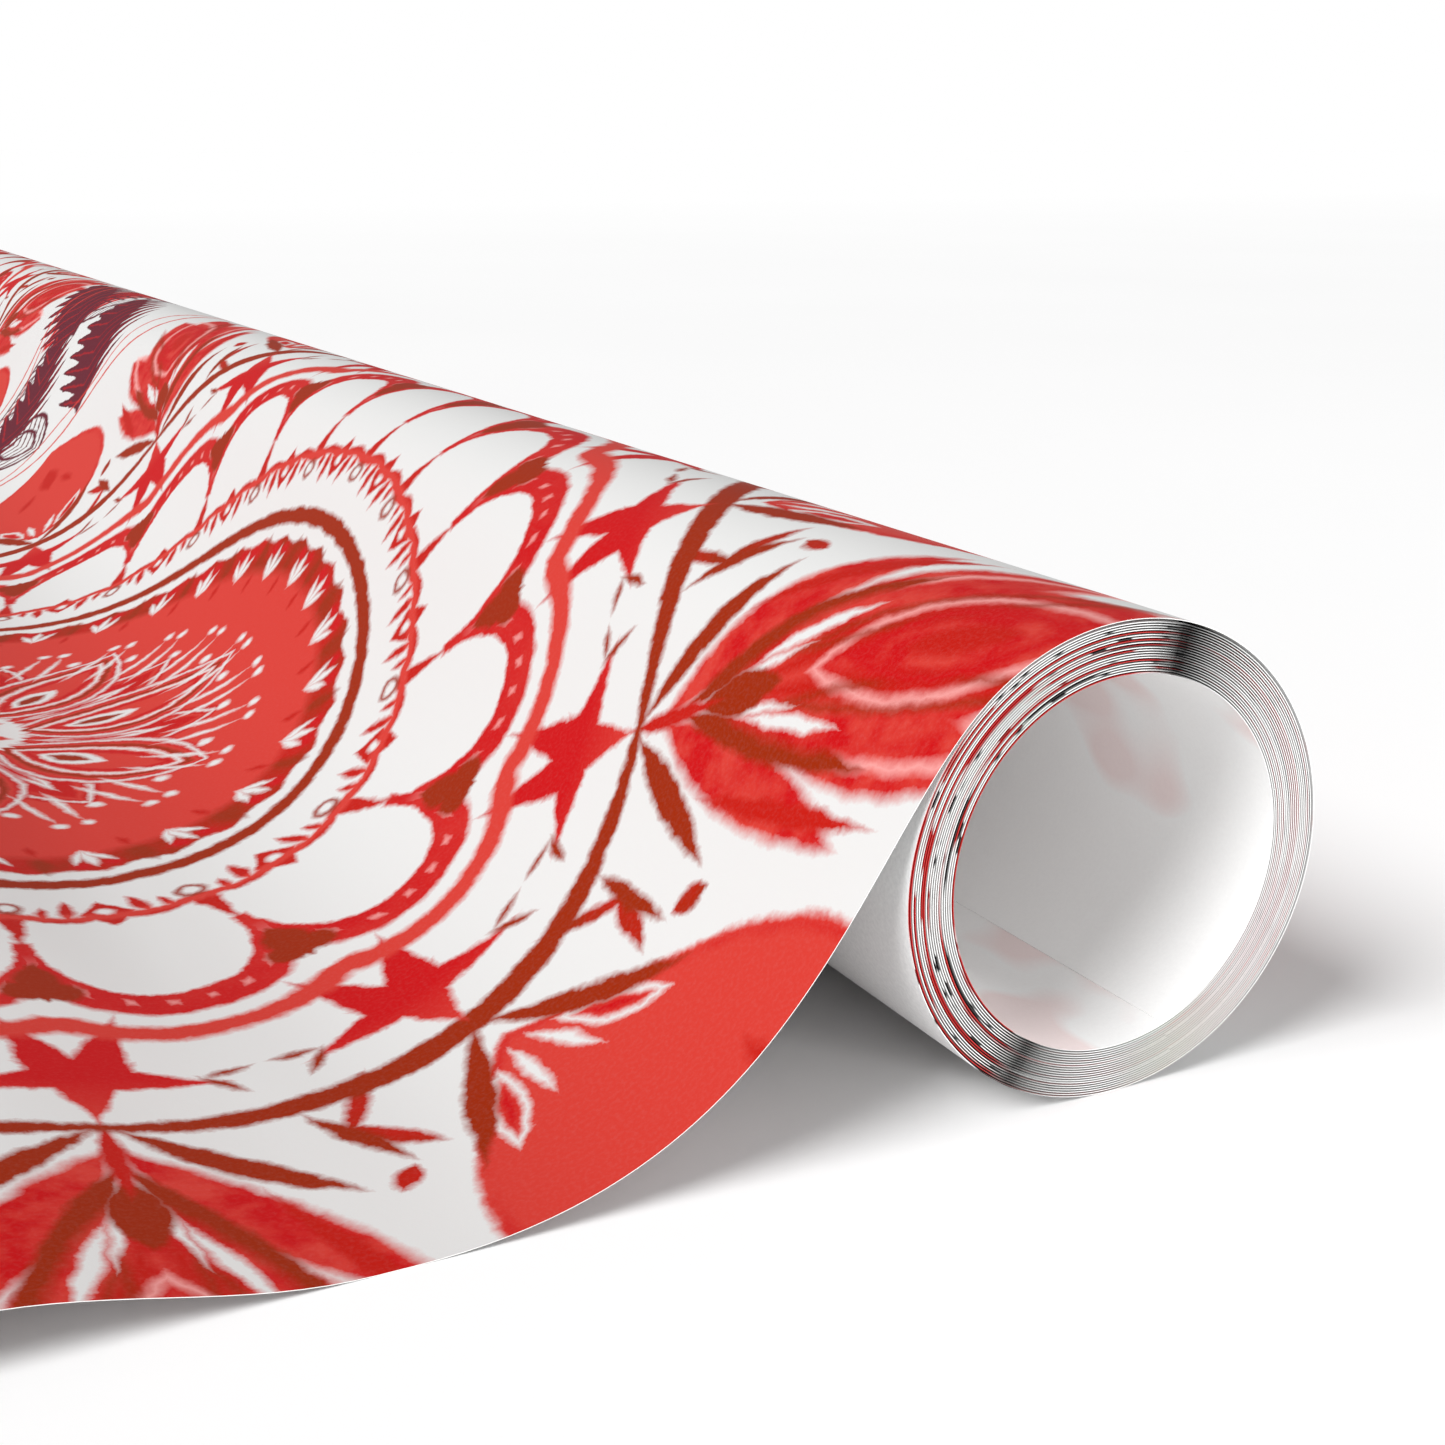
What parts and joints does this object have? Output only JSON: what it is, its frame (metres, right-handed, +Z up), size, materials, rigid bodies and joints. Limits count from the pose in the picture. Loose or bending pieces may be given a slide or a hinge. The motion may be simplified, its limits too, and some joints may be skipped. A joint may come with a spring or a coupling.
{
  "type": "wrapping paper roll",
  "caption": "Coreless roll of patterned gift wrapping paper lying on its side, with its loose end unrolled flat over the floor.",
  "frame": {"origin": "centre of the footprint, on the floor", "axes": "+Y along the roll's axis, from the near end to the far end; +Z up; the loose paper runs from the roll towards -X"},
  "size_m": [0.44, 0.762, 0.0437],
  "materials": {
    "printed_sheet": "satin uncoated paper printed in coral, crimson and rust on white",
    "wound_paper": "white paper edges with thin printed lines between the turns",
    "bore_paper": "plain white back of the paper, the print faintly showing through",
    "roll_outer_paper": "plain white paper with a fine matte grain"
  },
  "bodies": {
    "loose_sheet": {"outer_lap": "printed_sheet", "sheet_drop": "printed_sheet"},
    "free_end": {"free_end": "printed_sheet"},
    "outer_turns": {"turn_15": "wound_paper", "turn_16": "wound_paper", "turn_17": "wound_paper", "turn_18": "wound_paper", "turn_19": "wound_paper", "turn_20": "wound_paper", "turn_21": "roll_outer_paper"},
    "middle_turns": {"turn_08": "wound_paper", "turn_09": "wound_paper", "turn_10": "wound_paper", "turn_11": "wound_paper", "turn_12": "wound_paper", "turn_13": "wound_paper", "turn_14": "wound_paper"},
    "inner_turns": {"turn_01": "bore_paper", "turn_02": "wound_paper", "turn_03": "wound_paper", "turn_04": "wound_paper", "turn_05": "wound_paper", "turn_06": "wound_paper", "turn_07": "wound_paper"}
  },
  "joints": [
    {"name": "roll_turn", "type": "hinge", "parent": "loose_sheet", "child": "outer_turns", "pos_m": [0.198, 0, 0.02174], "axis": [0, 1, 0], "continuous": true},
    {"name": "middle_slide", "type": "slide", "parent": "outer_turns", "child": "middle_turns", "axis": [0, -1, 0], "range_m": [-0.09, 0.09]},
    {"name": "inner_slide", "type": "slide", "parent": "middle_turns", "child": "inner_turns", "axis": [0, -1, 0], "range_m": [-0.09, 0.09]},
    {"name": "free_end_lift", "type": "hinge", "parent": "loose_sheet", "child": "free_end", "pos_m": [0.13, 0, 0], "axis": [0, 1, 0], "range_deg": [0, 75]}
  ],
  "couplings": [
    {"joint": "inner_slide", "follows": "middle_slide", "ratio": 1}
  ]
}
